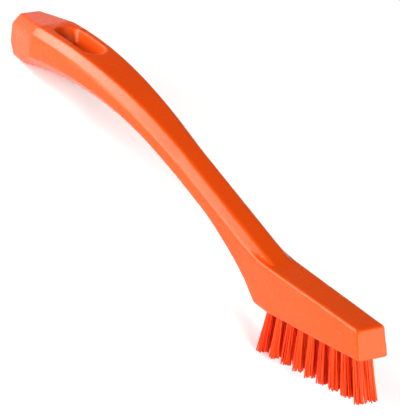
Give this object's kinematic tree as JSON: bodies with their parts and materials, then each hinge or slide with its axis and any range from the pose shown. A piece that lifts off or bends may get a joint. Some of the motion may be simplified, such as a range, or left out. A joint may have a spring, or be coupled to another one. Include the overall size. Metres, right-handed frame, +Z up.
{
  "type": "grout brush",
  "caption": "Narrow grout and detail brush: one moulded plastic handle with an arched grip, hanging hole and slim wedge block, and two rows of filament tufts held by wire anchors.",
  "frame": {"origin": "middle of the bounding box in X and Y, on the surface the brush stands on: hind filament tips and the heel of the grip touch Z = 0", "axes": "+X from the grip's end to the block's front, +Y across to the far row, +Z up"},
  "size_m": [0.2168, 0.0206, 0.0426],
  "materials": {
    "handle": "orange polypropylene, injection moulded, fine satin gloss",
    "filament": "red-orange extruded polyester filament, straight, cut ends",
    "anchor": "flat drawn stainless steel wire, sheared ends"
  },
  "bodies": {
    "root": {"handle": "handle", "tuft_near_1": "filament", "tuft_near_2": "filament", "tuft_near_3": "filament", "tuft_near_4": "filament", "tuft_near_5": "filament", "tuft_near_6": "filament", "tuft_near_7": "filament", "tuft_near_8": "filament", "tuft_near_9": "filament", "tuft_far_1": "filament", "tuft_far_2": "filament", "tuft_far_3": "filament", "tuft_far_4": "filament", "tuft_far_5": "filament", "tuft_far_6": "filament", "tuft_far_7": "filament", "tuft_far_8": "filament", "tuft_far_9": "filament", "anchor_near_1": "anchor", "anchor_near_2": "anchor", "anchor_near_3": "anchor", "anchor_near_4": "anchor", "anchor_near_5": "anchor", "anchor_near_6": "anchor", "anchor_near_7": "anchor", "anchor_near_8": "anchor", "anchor_near_9": "anchor", "anchor_far_1": "anchor", "anchor_far_2": "anchor", "anchor_far_3": "anchor", "anchor_far_4": "anchor", "anchor_far_5": "anchor", "anchor_far_6": "anchor", "anchor_far_7": "anchor", "anchor_far_8": "anchor", "anchor_far_9": "anchor"}
  },
  "joints": []
}
